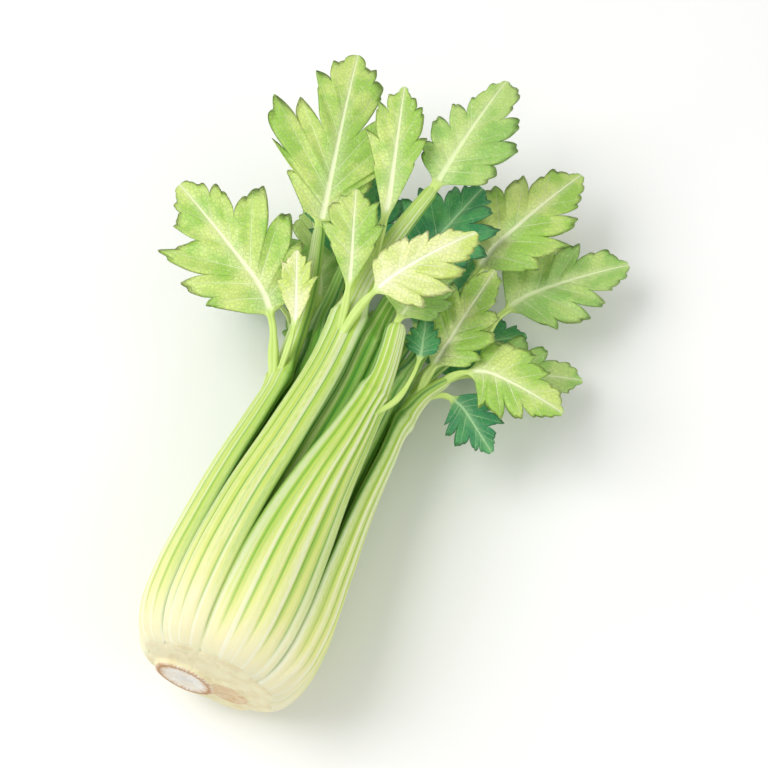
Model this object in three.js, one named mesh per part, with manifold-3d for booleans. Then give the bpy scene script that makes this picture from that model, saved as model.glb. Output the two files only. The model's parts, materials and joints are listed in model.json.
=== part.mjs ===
// A head of celery lying on its side: the crown, its stalks in three rings, and their leaves.
// Millimetres and degrees, +Z up. While it is built, the head's axis is the Y axis, from the cut
// root at y = 0 towards the leaf tips. The finished group is then set down on z = 0, with the
// middle of its footprint at the origin.
import * as THREE from "three";
import Module from "manifold-3d";
import { mergeVertices } from "three/addons/utils/BufferGeometryUtils.js";

// ---------------------------------------------------------------- driving dimensions
const STALK_LENGTH = 175; // cut root to the level where the outer stalks branch
const BULB_RADIUS = 50; // the head at its widest
const BULB_HEIGHT = 36; // where along the head that is
const ROOT_RADIUS = 33; // the head at the cut root
const NECK_RADIUS = 42; // the head where the stalks branch
const TWIST = 12; // how far every stalk winds round the axis by that level
const BOW = -2; // how far the head bends to the right halfway up
const STALK_THICKNESS = 10; // an outer stalk's wall, at the bulb
const RING_GAP = 1.2; // between one ring of stalks and the next
const CLEARANCE = 0.5; // between a stem and what it grows from

// Stems and leaves are sized for a neck of 42, and grow and shrink with it, so that they keep their room.
const ROOM = NECK_RADIUS / 42;

const SHOULDER_WIDTH = 15 * ROOM; // a leaf stem just above the branching level
const SHOULDER_SWELL = 1.31; // its depth there, in walls of the stalk
const STEM_WIDTH = 7.5 * ROOM; // the same stem at its far end
const STEM_DEPTH = 6.5 * ROOM;
const GROOVE = 0.55; // how much of its depth a stem keeps at its inner groove

const STALKLET_BASE = 6 * ROOM; // a leaf's own stalk where it starts, across
const STALKLET_END = 4 * ROOM; // the same stalk below the blade
const BLADE_KEEL = 2.6 * ROOM; // a blade with its midrib, at the base
const BLADE_TIP = 1.2 * ROOM; // the same, at the last notch before the tip

const FACE_RADIUS = 17; // the main cut face of the root
const FACE_OFFSET = [-13, -8]; // its middle, across and up from the head's axis
const FACE_PROUD = 2.5; // how far it stands out of the stalk bases
const SCAR_RADIUS = 13; // the smaller scar beside it, where an old stalk came away
const SCAR_OFFSET = [9, -9];
const SCAR_PROUD = 1;

const COLOUR = {
  crown: 0xf2ead2,
  outer: 0xcfe38c,
  middle: 0xb4d86e,
  heart: 0xe6edb0,
  bright: 0xbfdc6e,
  green: 0x8fc45a,
  deep: 0x3f9a52,
  pale: 0xe4eba0,
};

// ---------------------------------------------------------------- stalks
// clock: place round the axis seen from the root, 0 at the top and 90 to the right. span: half the
// angle that the stalk fills, at the bulb and where it branches. branch: that level, from STALK_LENGTH.
// length, heading, pitch: the stem that goes on above it, right of +Y and above level. stout: how much
// thicker than the others it ends.
const RINGS = {
  outer: { depth: 0, start: 1 },
  middle: { depth: 1, start: 14 },
  heart: { depth: 2, start: 26 },
};
const stalk = (name, ring, clock, span, branch, length, heading, pitch, stout = 1) => ({
  name, ring, clock, span, heading, pitch, stout, branch: branch * ROOM, length: length * ROOM,
});
const STALKS = [
  stalk("stalk_top_left", "outer", -23.5, [17.5, 15], 27, 90, 9, 5),
  stalk("stalk_top_right", "outer", 23.5, [28, 14], -8, 42, -5, 8, 1.5),
  stalk("stalk_right", "outer", 74, [21, 13], -4, 34, 24, 12),
  stalk("stalk_low_right", "outer", 117.5, [21, 13], 10, 66, 24, 12),
  stalk("stalk_under_right", "outer", 161.5, [21.5, 14], -6, 46, 12, 5),
  stalk("stalk_under_left", "outer", 206.5, [22, 14], 0, 50, -6, 5),
  stalk("stalk_low_left", "outer", 251.5, [21.5, 13], -4, 50, 4, 6),
  stalk("stalk_left", "outer", 296, [21.5, 14], -14, 92, -9, 5),
  stalk("inner_stalk_top", "middle", 2, [34, 26], 22, 56, 6, -4),
  stalk("inner_stalk_right", "middle", 74, [34, 24], 16, 72, 10, 4),
  stalk("inner_stalk_low_right", "middle", 146, [34, 24], 12, 50, 8, 4),
  stalk("inner_stalk_low_left", "middle", 218, [34, 24], 10, 54, -8, 4),
  stalk("inner_stalk_left", "middle", 290, [34, 24], 18, 50, -2, 2),
  stalk("heart_stalk_top", "heart", 20, [56, 40], -14, 46, 2, 0),
  stalk("heart_stalk_low", "heart", 140, [56, 40], -20, 40, 3, 0),
  stalk("heart_stalk_left", "heart", 260, [56, 40], -17, 42, 2, 0),
];

// ---------------------------------------------------------------- leaf outlines
// One row for each point of the outline from the base to the tip, as shares of the blade's length:
// where its side vein leaves the midrib, how far the vein runs, and the vein's angle off the midrib.
const LOBED = [
  [0.01, 0.12, 95], [0.03, 0.3, 72], [0.06, 0.36, 66], [0.09, 0.29, 62], [0.12, 0.45, 57], [0.16, 0.44, 52],
  [0.2, 0.3, 50], [0.22, 0.5, 44], [0.26, 0.54, 38], [0.33, 0.4, 34], [0.42, 0.22, 36], [0.46, 0.36, 32],
  [0.52, 0.35, 27], [0.6, 0.24, 25], [0.64, 0.29, 24], [0.8, 0.17, 18],
];
const TREFOIL = [
  [0, 0.1, 80], [0.02, 0.3, 52], [0.05, 0.27, 50], [0.06, 0.45, 48], [0.08, 0.4, 47], [0.09, 0.54, 46],
  [0.14, 0.6, 39], [0.19, 0.45, 36], [0.235, 0.46, 31], [0.34, 0.19, 32], [0.4, 0.33, 30], [0.46, 0.41, 28],
  [0.56, 0.29, 25], [0.6, 0.33, 21], [0.72, 0.23, 16],
];
const TOOTHED = [
  [0.02, 0.1, 88], [0.05, 0.27, 78], [0.09, 0.36, 68], [0.13, 0.3, 62], [0.17, 0.42, 56], [0.22, 0.43, 50],
  [0.28, 0.27, 49], [0.31, 0.4, 43], [0.36, 0.4, 37], [0.44, 0.22, 37], [0.48, 0.31, 33], [0.58, 0.31, 28],
  [0.72, 0.235, 24], [0.86, 0.12, 18],
];
const SLENDER = [
  [0.05, 0.1, 40], [0.14, 0.24, 36], [0.22, 0.36, 33], [0.29, 0.4, 35], [0.37, 0.26, 34], [0.44, 0.34, 30],
  [0.51, 0.38, 26], [0.61, 0.22, 27], [0.68, 0.25, 24], [0.84, 0.12, 18],
];

// ---------------------------------------------------------------- leaves
// on: the stalk, and at: how far up its stem the leaf starts. heading: degrees right of +Y, at the start
// and in the blade. pitch: degrees above level, at the start and at the tip. roll turns the blade about
// its midrib, right side down. stalk: its own stalk's length. fold lifts both halves of the blade.
// lean: how much wider the right half is than the middle, and the left half narrower.
const leaf = (
  name, on, at, heading, pitch, roll, stalk, length, width, outline, fold, colour, lean = 0,
) => ({
  name: `leaf_${name}`, on, at, heading, pitch, roll, width, outline, fold, colour, lean,
  stalk: stalk * ROOM, length: length * ROOM,
});
const LEAVES = [
  leaf("far_left", "stalk_left", 0.1, [-18, -58], [14, -6], -12, 26, 92, 1, LOBED, 6, "bright"),
  leaf("upper_left", "stalk_left", 1, [-10, -12], [14, -6], 2, 4, 108, 0.95, TREFOIL, 5, "bright"),
  leaf("bud_left", "stalk_left", 0.14, [-2, -22], [20, 14], -6, 14, 40, 1.25, SLENDER, 8, "pale"),
  leaf("centre_small", "stalk_top_left", 0.03, [-10, -19], [34, -2], 0, 10, 54, 1.45, SLENDER, 6, "bright"),
  leaf("front", "stalk_top_left", 0.03, [24, 42], [34, 0], 6, 14, 60, 1, TOOTHED, 4, "pale", 0.2),
  leaf("top_middle", "stalk_top_left", 0.55, [-4, -15], [16, 2], -4, 10, 80, 0.95, SLENDER, 6, "bright"),
  leaf("top", "stalk_top_left", 1, [7, 9], [14, -8], 4, 3, 77, 0.9, TOOTHED, 6, "green", 0.2),
  leaf("behind_front", "stalk_top_right", 1, [8, 16], [1, -7], 0, 4, 46, 1.2, TOOTHED, 4, "green"),
  leaf("shaded_right", "stalk_top_right", 0.08, [14, -14], [-2, -6], 0, 30, 26, 1.1, TOOTHED, 4, "deep"),
  leaf("right_upright", "stalk_right", 0.8, [14, 12], [26, 12], 0, 8, 60, 1, TOOTHED, 6, "bright"),
  leaf("right_front", "stalk_right", 1, [44, 98], [22, -18], 8, 14, 54, 1.15, TOOTHED, 4, "bright"),
  leaf("right_hanging", "stalk_right", 0.85, [90, 126], [-6, -12], 10, 6, 34, 1.2, LOBED, 4, "deep"),
  leaf("right_behind", "stalk_low_right", 0.5, [50, 72], [14, -10], 0, 20, 60, 1.05, TOOTHED, 4, "green"),
  leaf("far_right", "stalk_low_right", 1, [12, 47], [16, -12], 2, 22, 74, 1.05, TOOTHED, 5, "green"),
  leaf("upper_right", "inner_stalk_right", 1, [2, 24], [16, -10], 0, 12, 84, 1, TOOTHED, 5, "bright"),
  leaf("shaded_top", "inner_stalk_top", 1, [6, 14], [6, -10], 0, 4, 60, 1.25, LOBED, 4, "deep"),
  leaf("shaded_left", "inner_stalk_left", 1, [-4, -13], [4, -10], 0, 4, 62, 1.2, LOBED, 4, "deep"),
  leaf("low_left_far", "stalk_low_left", 1, [-8, -30], [4, 0], 4, 6, 58, 1.1, LOBED, 4, "green"),
  leaf("low_left_near", "stalk_low_left", 0.7, [-40, -60], [-18, -30], 6, 26, 54, 1, TOOTHED, 4, "deep"),
  leaf("under_left", "stalk_under_left", 1, [-10, -22], [4, 2], 0, 8, 62, 1.05, TOOTHED, 4, "deep"),
  leaf("under_left_inner", "stalk_under_left", 0.12, [-4, -10], [0, 5], 0, 26, 50, 1, TOOTHED, 4, "green"),
  leaf("under_right", "stalk_under_right", 1, [20, 60], [2, 3], 0, 22, 60, 1.05, LOBED, 4, "deep"),
  leaf("under_right_inner", "stalk_under_right", 0.12, [-10, 4], [2, 4], 0, 26, 50, 1, TOOTHED, 4, "green"),
  leaf("inner_low_right", "inner_stalk_low_right", 1, [8, 14], [4, 4], 0, 6, 60, 1, TOOTHED, 4, "deep"),
  leaf("inner_low_left", "inner_stalk_low_left", 1, [-8, -10], [4, 4], 0, 6, 60, 1, TOOTHED, 4, "deep"),
  leaf("heart_top", "heart_stalk_top", 1, [0, 0], [0, 0], 0, 4, 34, 1, SLENDER, 10, "pale"),
  leaf("heart_low", "heart_stalk_low", 1, [2, 2], [0, 0], 0, 4, 32, 1, SLENDER, 10, "pale"),
  leaf("heart_left", "heart_stalk_left", 1, [-2, -2], [0, 0], 0, 4, 34, 1, SLENDER, 10, "pale"),
];

// ---------------------------------------------------------------- small mathematics
const { clamp, degToRad, lerp, smoothstep } = THREE.MathUtils;
const AXIS = new THREE.Vector3(0, 1, 0);

// The point start + a * across + b * up.
const offset = (start, across, a, up, b) => start.clone().addScaledVector(across, a).addScaledVector(up, b);

// The unit vectors of a stem that heads right of +Y and above level by these angles.
function bearings(heading, pitch, roll = 0) {
  const [h, p, r] = [heading, pitch, roll].map(degToRad);
  const along = new THREE.Vector3(Math.cos(p) * Math.sin(h), Math.cos(p) * Math.cos(h), Math.sin(p));
  const level = new THREE.Vector3(Math.cos(h), -Math.sin(h), 0);
  const upright = level.clone().cross(along);
  const zero = new THREE.Vector3();
  const up = offset(zero, upright, Math.cos(r), level, Math.sin(r));
  const right = offset(zero, level, Math.cos(r), upright, -Math.sin(r));
  return { along, up, right };
}

// The place at a clock angle round the bent axis, at a radius, y along it.
function roundAxis(clock, radius, y) {
  const angle = degToRad(clock);
  const share = clamp((y - BULB_HEIGHT) / (STALK_LENGTH - BULB_HEIGHT), 0, 1);
  const bend = BOW * Math.sin(Math.PI * share) ** 2;
  return new THREE.Vector3(bend + Math.sin(angle) * radius, y, Math.cos(angle) * radius);
}

// A closed tube through rings of points, with each end closed onto a middle point: a unit cylinder
// whose vertices are moved to their places. A ring's points turn right-handed about the way it grows.
function loft(rings, first, last) {
  const sides = rings[0].length;
  const geometry = new THREE.CylinderGeometry(1, 1, 1, sides, rings.length - 1);
  geometry.deleteAttribute("normal");
  geometry.deleteAttribute("uv");
  const position = geometry.getAttribute("position");
  for (let i = 0; i < position.count; i += 1) {
    const [x, y, z] = [position.getX(i), position.getY(i), position.getZ(i)];
    const station = Math.round((y + 0.5) * (rings.length - 1));
    const side = Math.round((Math.atan2(x, z) / (2 * Math.PI)) * sides + sides) % sides;
    const end = station === 0 ? first : last;
    const place = Math.hypot(x, z) < 0.5 ? end : rings[station][side];
    position.setXYZ(i, place.x, place.y, place.z);
  }
  return mergeVertices(geometry, 1e-3);
}

const middleOf = (points) =>
  points.reduce((sum, p) => sum.add(p), new THREE.Vector3()).divideScalar(points.length);

// ---------------------------------------------------------------- the head's shape
// The radius of the bunch at y: a quarter ellipse up to the bulb, then an easy waist to the neck.
function headRadius(y) {
  if (y < BULB_HEIGHT) {
    const rise = 1 - Math.max(y, 0) / BULB_HEIGHT;
    return ROOT_RADIUS + (BULB_RADIUS - ROOT_RADIUS) * Math.sqrt(1 - rise * rise);
  }
  return lerp(BULB_RADIUS, NECK_RADIUS, smoothstep(y, BULB_HEIGHT, STALK_LENGTH));
}

const wallAt = (y) => (STALK_THICKNESS * headRadius(y)) / BULB_RADIUS;

// The outside radius of a ring of stalks: each ring lies inside the wall of the one before.
const ringRadius = (ring, y) => headRadius(y) - RINGS[ring].depth * (wallAt(y) + RING_GAP);

// ---------------------------------------------------------------- a stalk
// Shares of the half width: seven points round the outside, then three back along the inside.
const OUTSIDE = [-1, -2 / 3, -1 / 3, 0, 1 / 3, 2 / 3, 1];
const INSIDE = [0.55, 0, -0.55];

const branchLevel = (stalk) => STALK_LENGTH + stalk.branch;

const clockAt = (stalk, y) => stalk.clock + TWIST * smoothstep(y, BULB_HEIGHT, STALK_LENGTH);

// The stalk's C-shaped section at y. Its edges sink below its back by half a wall and are half a wall
// thick, so that the inside of a whole ring is a circle.
function stalkRing(stalk, y) {
  const radius = ringRadius(stalk.ring, y);
  const wall = wallAt(y);
  const grown = Math.max(0, (y - BULB_HEIGHT) / (branchLevel(stalk) - BULB_HEIGHT));
  const span = lerp(...stalk.span, grown ** 2);
  const clock = clockAt(stalk, y);
  const back = OUTSIDE.map((s) => roundAxis(clock + s * span, radius - (wall / 2) * s * s, y));
  const front = INSIDE.map((s) => roundAxis(clock + s * span, radius - wall, y));
  return [...back, ...front];
}

// Where the stalk turns into a stem, and the stem's curve from there.
function stemOf(stalk) {
  const level = branchLevel(stalk);
  const clock = clockAt(stalk, level);
  const neck = Math.max(level, STALK_LENGTH);
  const radius = ringRadius(stalk.ring, neck) - wallAt(neck) / 2;
  const start = roundAxis(clock, radius, level);
  const { along } = bearings(stalk.heading, stalk.pitch);
  const end = start.clone().addScaledVector(along, stalk.length);
  const bend = start.clone().addScaledVector(AXIS, stalk.length / 2);
  return { curve: new THREE.QuadraticBezierCurve3(start, bend, end), outward: roundAxis(clock, 1, 0) };
}

// A stem's half width and half depth.
function stemSize({ branch, stout }, share) {
  const shoulder = wallAt(STALK_LENGTH + branch) * SHOULDER_SWELL;
  const wide = lerp(SHOULDER_WIDTH, STEM_WIDTH * stout, share);
  const deep = lerp(shoulder, STEM_DEPTH * stout, share);
  return [wide / 2, deep / 2];
}

// The stem's rounded section, grooved on its inner side.
function stemRing(stalk, { curve, outward }, share) {
  const middle = curve.getPoint(share);
  const along = curve.getTangent(share);
  const up = outward.clone().addScaledVector(along, -outward.dot(along)).normalize();
  const right = along.clone().cross(up);
  const [a, b] = stemSize(stalk, share);
  const across = (s) => a * Math.sin((s * Math.PI) / 2);
  const height = (s) => b * Math.cos((s * Math.PI) / 2);
  const back = OUTSIDE.map((s) => offset(middle, right, across(s), up, height(s)));
  const front = INSIDE.map((s) => {
    const depth = height(s) * (s === 0 ? GROOVE : 1);
    return offset(middle, right, across(s), up, -depth);
  });
  return [...back, ...front];
}

const BULB_STATIONS = [0.14, 0.32, 0.58]; // shares of BULB_HEIGHT
const SHAFT_STATIONS = [0, 0.28, 0.56, 0.82, 1]; // shares of the way from there to the branching level
const STEM_STATIONS = [0.2, 0.55, 1]; // shares of the stem

function stalkGeometry(stalk) {
  const { start } = RINGS[stalk.ring];
  const low = BULB_STATIONS.map((share) => share * BULB_HEIGHT).filter((y) => y > start);
  const high = SHAFT_STATIONS.map((share) => lerp(BULB_HEIGHT, branchLevel(stalk), share));
  const stem = stemOf(stalk);
  const rings = [
    ...[start, ...low, ...high].map((y) => stalkRing(stalk, y)),
    ...STEM_STATIONS.map((share) => stemRing(stalk, stem, share)),
  ];
  return loft(rings, middleOf(rings[0]), middleOf(rings.at(-1)));
}

// ---------------------------------------------------------------- a leaf
const UNEVEN = 0.07; // how much a leaf's two edges differ
const PATH_STEPS = 16;

// The line of the leaf's stalk and midrib. It turns while it is a stalk and bends evenly throughout.
function leafPath(leaf, start) {
  const total = leaf.stalk + leaf.length;
  const bearingsAt = (distance) => {
    const turned = Math.min(1, distance / (leaf.stalk + leaf.length / 4));
    return bearings(
      lerp(leaf.heading[0], leaf.heading[1], turned),
      lerp(leaf.pitch[0], leaf.pitch[1], distance / total),
      leaf.roll * turned,
    );
  };
  const points = [start];
  for (let i = 0; i < PATH_STEPS; i += 1) {
    const { along } = bearingsAt(((i + 0.5) * total) / PATH_STEPS);
    points.push(points.at(-1).clone().addScaledVector(along, total / PATH_STEPS));
  }
  const curve = new THREE.CatmullRomCurve3(points);
  return (distance) => {
    const middle = curve.getPointAt(Math.min(1, distance / total));
    return { middle, ...bearingsAt(distance) };
  };
}

// Half of the stem across a direction, where the stalk is still turning into the stem or above.
function stemReach(stalk, outward, share, direction) {
  const settled = Math.min(1, share / STEM_STATIONS[0]);
  const neck = ringRadius(stalk.ring, branchLevel(stalk)) * Math.sin(degToRad(stalk.span[1]));
  const [a, b] = stemSize(stalk, share);
  const wide = lerp(neck, a, settled);
  const out = direction.dot(outward);
  return Math.hypot(wide * Math.sqrt(1 - out * out), b * out);
}

// Where the leaf's own stalk starts: beside its stem, or at the stem's end.
function leafStart({ on, at, heading, pitch }) {
  const parent = STALKS.find(({ name }) => name === on);
  const { curve, outward } = stemOf(parent);
  const middle = curve.getPoint(at);
  const along = curve.getTangent(at);
  const way = bearings(heading[0], pitch[0]).along;
  if (at === 1) {
    const turn = way.angleTo(along);
    return middle.addScaledVector(along, CLEARANCE + (STALKLET_BASE / 2) * Math.sin(turn));
  }
  const sideways = way.addScaledVector(along, -way.dot(along)).normalize();
  const reach = stemReach(parent, outward, at, sideways) + STALKLET_BASE / 2 + CLEARANCE;
  return middle.addScaledVector(sideways, reach);
}

// The leaf stalk's section: left, three points over the top, right and the underside.
function stalkletRing({ middle, up, right }, width) {
  const r = width / 2;
  return [
    offset(middle, right, -r, up, 0),
    offset(middle, right, -r * 0.7, up, r * 0.7),
    offset(middle, right, 0, up, r * GROOVE),
    offset(middle, right, r * 0.7, up, r * 0.7),
    offset(middle, right, r, up, 0),
    offset(middle, right, 0, up, -r),
  ];
}

// A blade's section along a pair of side veins: both edges, and the midrib's top and underside.
function bladeRing(leaf, path, [from, reach, angle], row) {
  const keel = lerp(BLADE_KEEL, BLADE_TIP, from);
  const vein = degToRad(angle);
  const fold = degToRad(leaf.fold);
  const seed = leaf.length + leaf.heading[1];
  const place = (side, share) => {
    const uneven = 1 + UNEVEN * Math.sin(seed + row * 2.4 + side) + side * leaf.lean;
    const run = share * reach * uneven * leaf.length;
    const at = path(leaf.stalk + from * leaf.length + run * Math.cos(vein));
    const out = run * Math.sin(vein) * leaf.width;
    return offset(at.middle, at.right, side * out * Math.cos(fold), at.up, out * Math.sin(fold));
  };
  const root = path(leaf.stalk + from * leaf.length);
  return [
    place(-1, 1),
    place(-1, 0.5),
    root.middle,
    place(1, 0.5),
    place(1, 1),
    offset(root.middle, root.right, 0, root.up, -keel),
  ];
}

function leafGeometry(leaf) {
  const path = leafPath(leaf, leafStart(leaf));
  const rings = [
    stalkletRing(path(0), STALKLET_BASE),
    stalkletRing(path(leaf.stalk * 0.6), STALKLET_END),
    ...leaf.outline.map((row, index) => bladeRing(leaf, path, row, index)),
  ];
  return loft(rings, middleOf(rings[0]), path(leaf.stalk + leaf.length).middle);
}

// ---------------------------------------------------------------- the crown
const wasm = await Module();
wasm.setup();

function solidOf(geometry) {
  geometry.deleteAttribute("normal");
  geometry.deleteAttribute("uv");
  const merged = mergeVertices(geometry, 1e-3);
  return new wasm.Manifold(
    new wasm.Mesh({
      numProp: 3,
      vertProperties: merged.getAttribute("position").array,
      triVerts: new Uint32Array(merged.index.array),
    }),
  );
}

function geometryOf(solid) {
  const mesh = solid.getMesh();
  return new THREE.BufferGeometry()
    .setAttribute("position", new THREE.BufferAttribute(mesh.vertProperties, 3))
    .setIndex(new THREE.BufferAttribute(mesh.triVerts, 1));
}

// A body turned about Y, moved across and up. The profile's points are [radius, y].
const CROWN_SIDES = 24;
function turned(profile, [across, up] = [0, 0]) {
  const points = profile.map(([radius, y]) => new THREE.Vector2(radius, y));
  return new THREE.LatheGeometry(points, CROWN_SIDES).translate(across, 0, up);
}

// The crown fills the middle of the rings below their starts, and shows its cut face at the root.
function crownGeometry() {
  const inside = (ring, y) => ringRadius(ring, y) - wallAt(y) - RING_GAP;
  const shoulder = RINGS.middle.start - RING_GAP;
  const collar = RINGS.heart.start - RING_GAP;
  const rim = 1; // the cut edge is rounded by this much
  const top = collar + 12;
  const core = solidOf(turned([
    [0, 0],
    [inside("outer", 0), 0],
    [inside("outer", shoulder / 2), shoulder / 2],
    [inside("outer", shoulder), shoulder],
    [inside("middle", RINGS.middle.start), shoulder],
    [inside("middle", collar), collar],
    [inside("heart", RINGS.heart.start), collar],
    [inside("heart", RINGS.heart.start) / 2, top],
    [0, top],
  ]));
  const face = solidOf(turned([
    [0, -FACE_PROUD],
    [FACE_RADIUS - rim, -FACE_PROUD],
    [FACE_RADIUS, -FACE_PROUD + rim],
    [FACE_RADIUS, 0.3],
    [0, 0.3],
  ], FACE_OFFSET));
  const scar = solidOf(turned([
    [0, -SCAR_PROUD],
    [SCAR_RADIUS - rim, -SCAR_PROUD],
    [SCAR_RADIUS, 0.3],
    [0, 0.3],
  ], SCAR_OFFSET));
  return geometryOf(core.add(face).add(scar));
}

// ---------------------------------------------------------------- the object
function piece(name, geometry, colour, roughness) {
  const material = new THREE.MeshStandardMaterial({ color: COLOUR[colour], roughness, metalness: 0 });
  const mesh = new THREE.Mesh(geometry, material);
  mesh.name = name;
  return mesh;
}

const head = new THREE.Group();
head.add(piece("crown", crownGeometry(), "crown", 0.8));
for (const stalk of STALKS) head.add(piece(stalk.name, stalkGeometry(stalk), stalk.ring, 0.45));
for (const leaf of LEAVES) head.add(piece(leaf.name, leafGeometry(leaf), leaf.colour, 0.55));

// Lay the head down on its bulb and its neck, with the bottom centre of its box at the origin.
head.rotation.x = -Math.atan((BULB_RADIUS - NECK_RADIUS) / (STALK_LENGTH - BULB_HEIGHT));
const box = new THREE.Box3().setFromObject(head, true);
const middle = box.getCenter(new THREE.Vector3());
head.position.set(-middle.x, -middle.y, -box.min.z);

export default head;
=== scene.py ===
import json
import math

import bpy
import numpy as np
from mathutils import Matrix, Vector


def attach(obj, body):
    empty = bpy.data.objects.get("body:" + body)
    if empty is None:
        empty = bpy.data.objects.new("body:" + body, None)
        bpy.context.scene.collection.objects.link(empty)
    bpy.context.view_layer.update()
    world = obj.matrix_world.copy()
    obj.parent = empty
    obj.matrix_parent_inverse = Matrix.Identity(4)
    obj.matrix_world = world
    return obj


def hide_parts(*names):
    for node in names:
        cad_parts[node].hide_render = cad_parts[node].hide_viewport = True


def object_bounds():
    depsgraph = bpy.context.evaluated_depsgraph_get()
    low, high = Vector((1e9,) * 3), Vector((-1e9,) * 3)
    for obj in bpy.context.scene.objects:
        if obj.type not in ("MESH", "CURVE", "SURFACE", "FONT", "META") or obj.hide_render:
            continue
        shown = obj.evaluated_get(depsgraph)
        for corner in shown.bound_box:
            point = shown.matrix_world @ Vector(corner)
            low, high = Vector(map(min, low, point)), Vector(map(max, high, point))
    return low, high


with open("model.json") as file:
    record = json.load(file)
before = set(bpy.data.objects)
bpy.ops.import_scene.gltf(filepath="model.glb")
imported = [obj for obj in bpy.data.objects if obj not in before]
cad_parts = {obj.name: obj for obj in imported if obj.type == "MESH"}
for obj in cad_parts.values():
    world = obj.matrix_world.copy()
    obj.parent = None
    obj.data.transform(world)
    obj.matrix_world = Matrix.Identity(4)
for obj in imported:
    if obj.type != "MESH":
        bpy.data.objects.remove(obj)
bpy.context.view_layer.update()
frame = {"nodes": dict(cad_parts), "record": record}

# A head of celery, lying down. Lengths in this script are in millimetres until a mesh is made.
MM = 0.001

# ---------------------------------------------------------------- sizes
STALK_SIDES = 10  # points in a ring of a CAD stalk: seven round the outside and three inside
LEAF_SIDES = 6  # points in a ring of a CAD leaf: the edges, the halves, the midrib and its keel
STEM_RINGS = 3  # a CAD stalk's last rings belong to its stem

STALK_STEP = 3.0  # between two rows of a stalk
NODE_STEP = 0.9  # between two rows near the level where the stem branches off
NODE_REACH = 8.0
RIB_WIDTH = 6.4  # of a stalk's ribs at the bulb
RIB_HEIGHT = {"outer": 1.0, "inner": 0.8, "heart": 0.6}
SNUG = {"outer": 0.07, "inner": 0.03, "heart": 0.0}  # how much wider stalks are made, to lie close
SWELLING = 1.1

EDGE_STEP = 1.1  # between two points of a leaf's edge
BLADE_THICKNESS = 0.4
PUFF = 1.5  # how far a blade rises between its side veins
WAVE = 1.8  # how far its edge waves
NOTCH = 0.2  # how deep a small notch is, as a share of the stretch of edge that it is in
STALKLET_RADIUS = 2.1
STALKLET_FLARE = 1.0  # how much thicker it is where it joins its stem
BACK = 5.0  # how far back down its stem a leaf's stalk starts
BACK_SLANT = 1.4  # and how much further back for each millimetre that the leaf starts off the stem
HALF_COLUMNS = 9  # points across half a blade, from its midrib to its edge

CROWN_VOXEL = 0.8

# ---------------------------------------------------------------- small mathematics
def unit(vectors):
    """The vectors, each made one long."""
    return vectors / np.maximum(np.linalg.norm(vectors, axis=-1, keepdims=True), 1e-9)


def smooth(values, low, high):
    """0 up to low and 1 from high, easing in between."""
    t = np.clip((values - low) / (high - low), 0, 1)
    return t * t * (3 - 2 * t)


def bell(values, width):
    """1 at 0, falling away to both sides over about the width."""
    return np.exp(-((values / width) ** 2))


def lengths_along(points):
    """How far each point is along the line through them."""
    steps = np.linalg.norm(np.diff(points, axis=0), axis=1)
    return np.concatenate([[0], np.cumsum(steps)])


def hermite(start, end, leaving, arriving, t):
    """A curve from start to end with these tangents, at the shares t."""
    return (
        (2 * t**3 - 3 * t**2 + 1) * start
        + (t**3 - 2 * t**2 + t) * leaving
        + (3 * t**2 - 2 * t**3) * end
        + (t**3 - t**2) * arriving
    )


def spline(knots, values, at):
    """A smooth curve that has these values at the knots, at other places."""
    gaps = np.diff(knots).reshape(-1, *[1] * (values.ndim - 1))
    slopes = np.diff(values, axis=0) / gaps
    inner = (slopes[:-1] * gaps[1:] + slopes[1:] * gaps[:-1]) / (gaps[1:] + gaps[:-1])
    tangents = np.concatenate([slopes[:1], inner, slopes[-1:]])
    found = np.clip(np.searchsorted(knots, at, side="right") - 1, 0, len(knots) - 2)
    gap = gaps[found]
    t = (at - knots[found]).reshape(gap.shape) / gap
    leaving, arriving = tangents[found] * gap, tangents[found + 1] * gap
    return hermite(values[found], values[found + 1], leaving, arriving, t)


# ---------------------------------------------------------------- reading the CAD tubes
def cad_surface(name):
    """A node's points, one for each place, and which of them share an edge."""
    mesh = frame["nodes"][name].data
    raw = np.array([v.co for v in mesh.vertices]) / MM
    points, where = np.unique(np.round(raw, 3), axis=0, return_inverse=True)
    where = where.ravel()
    joined = [set() for _ in points]
    for polygon in mesh.polygons:
        corners = [int(where[v]) for v in polygon.vertices]
        for corner in corners:
            joined[corner].update(c for c in corners if c != corner)
    return points, joined


def levels_from(pole, joined):
    """The points by how many edges away from pole they are, nearest first."""
    seen = {pole}
    levels = [[pole]]
    while levels[-1]:
        ahead = set().union(*(joined[p] for p in levels[-1])) - seen
        seen |= ahead
        levels.append(sorted(ahead))
    return levels[:-1]


def in_order(level, joined):
    """A ring's points in order round it."""
    members = set(level)
    ring = [level[0]]
    while len(ring) < len(level):
        ring.append(min(p for p in joined[ring[-1]] & members if p not in ring))
    return ring


def rings_of(name, sides):
    """The rings of a CAD tube from one end to the other, point by point in line, and its end points."""
    points, joined = cad_surface(name)
    for pole, around in enumerate(joined):
        if len(around) != sides:
            continue
        levels = levels_from(pole, joined)
        if len(levels[-1]) == 1 and all(len(level) == sides for level in levels[1:-1]):
            break
    rings = [in_order(levels[1], joined)]
    for level in levels[2:-1]:
        ring = in_order(level, joined)
        turns = [np.roll(way, k).tolist() for way in (ring, ring[::-1]) for k in range(sides)]
        turns = [turn for turn in turns if all(b in joined[a] for a, b in zip(rings[-1], turn))]
        last = points[rings[-1]]
        rings.append(min(turns, key=lambda turn: np.linalg.norm(points[turn] - last, axis=1).sum()))
    return points[pole], points[np.array(rings)], points[levels[-1][0]]


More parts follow.
